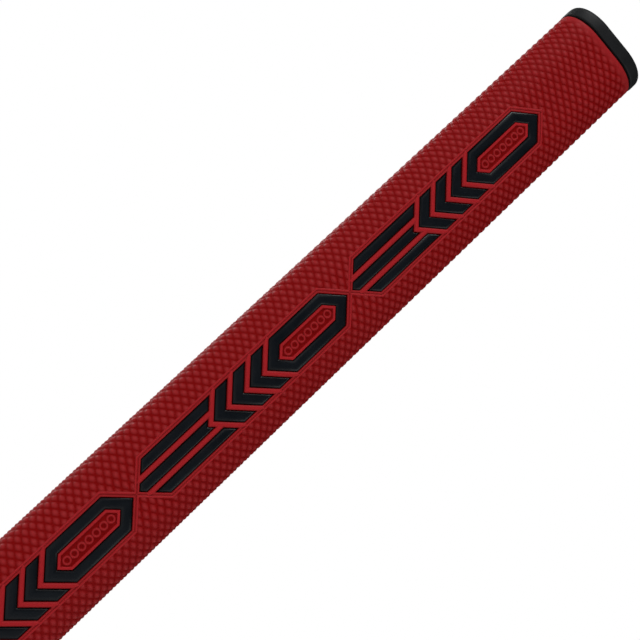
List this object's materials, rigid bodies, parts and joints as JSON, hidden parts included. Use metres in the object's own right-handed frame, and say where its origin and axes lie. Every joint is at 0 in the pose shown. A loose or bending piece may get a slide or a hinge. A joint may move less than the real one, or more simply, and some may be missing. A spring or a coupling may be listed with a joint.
{
  "type": "golf grip",
  "caption": "Oversize putter grip with a flat front, diamond-textured soft skin with dark inlaid motifs, a foam core with a shaft bore, and rubber ends.",
  "frame": {"origin": "centre of the shaft's mouth, on the tip ring's end face, at the middle of the grip's width and depth", "axes": "+Z along the shaft's axis towards the butt end, -Y out of the flat front face, +X to the right of someone who looks at the front"},
  "size_m": [0.029, 0.0254, 0.267],
  "materials": {
    "skin": "matte moulded polyurethane with a raised diamond texture and thin raised keylines",
    "fill": "satin black polyurethane fill, slightly domed",
    "core": "dull closed-cell foam",
    "cap": "matte black moulded rubber"
  },
  "bodies": {
    "root": {"foam_core": "core", "outer_skin": "skin", "butt_cap": "cap", "tip_ring": "cap", "fill_ring_1": "fill", "fill_ring_2": "fill", "fill_ring_3": "fill", "fill_chevron_1": "fill", "fill_chevron_2": "fill", "fill_chevron_3": "fill", "fill_chevron_4": "fill", "fill_chevron_5": "fill", "fill_chevron_6": "fill", "fill_chevron_7": "fill", "fill_chevron_8": "fill", "fill_chevron_9": "fill", "fill_bar_left_1": "fill", "fill_bar_middle_1": "fill", "fill_bar_right_1": "fill", "fill_bar_left_2": "fill", "fill_bar_middle_2": "fill", "fill_bar_right_2": "fill"}
  },
  "joints": []
}
